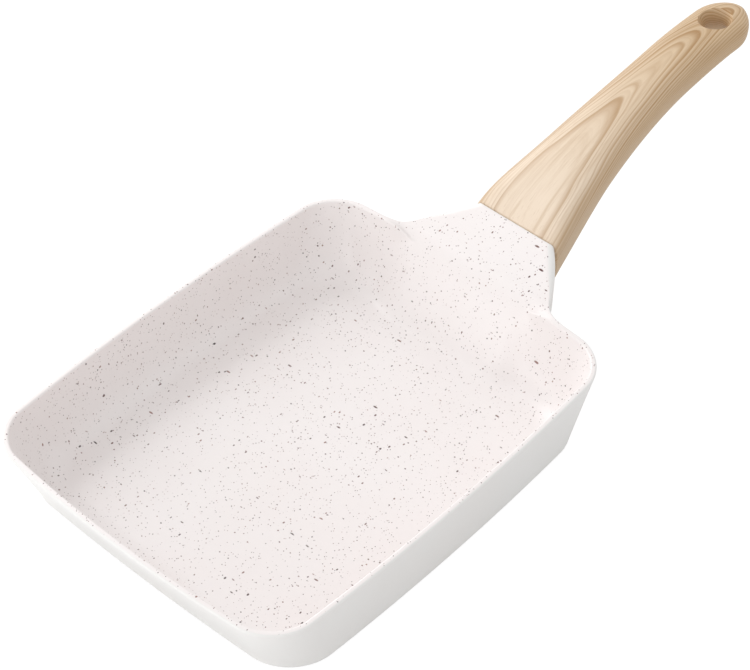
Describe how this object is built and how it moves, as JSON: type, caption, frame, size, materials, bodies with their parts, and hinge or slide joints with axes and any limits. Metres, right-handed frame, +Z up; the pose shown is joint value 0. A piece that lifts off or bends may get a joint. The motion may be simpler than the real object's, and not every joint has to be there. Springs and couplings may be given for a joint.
{
  "type": "tamagoyaki pan",
  "caption": "Rectangular rolled-omelette pan with low bowed walls, a broad ramp at the back running into a cast neck, and one long upswept handle with a hanging hole.",
  "frame": {"origin": "centre of the flat resting face under the pan", "axes": "+X across the pan to its right side, +Y from the front wall to the handle, +Z up from the resting face"},
  "size_m": [0.15, 0.3612, 0.0696],
  "materials": {
    "coated_body": "satin stone-look coat",
    "steel_plate": "brushed",
    "grip": "satin wood-look moulding",
    "fastener": "plain"
  },
  "bodies": {
    "root": {"pan_body": "coated_body", "base_plate": "steel_plate", "handle": "grip", "handle_screw": "fastener", "spring_washer": "fastener", "flat_washer": "fastener"}
  },
  "joints": []
}
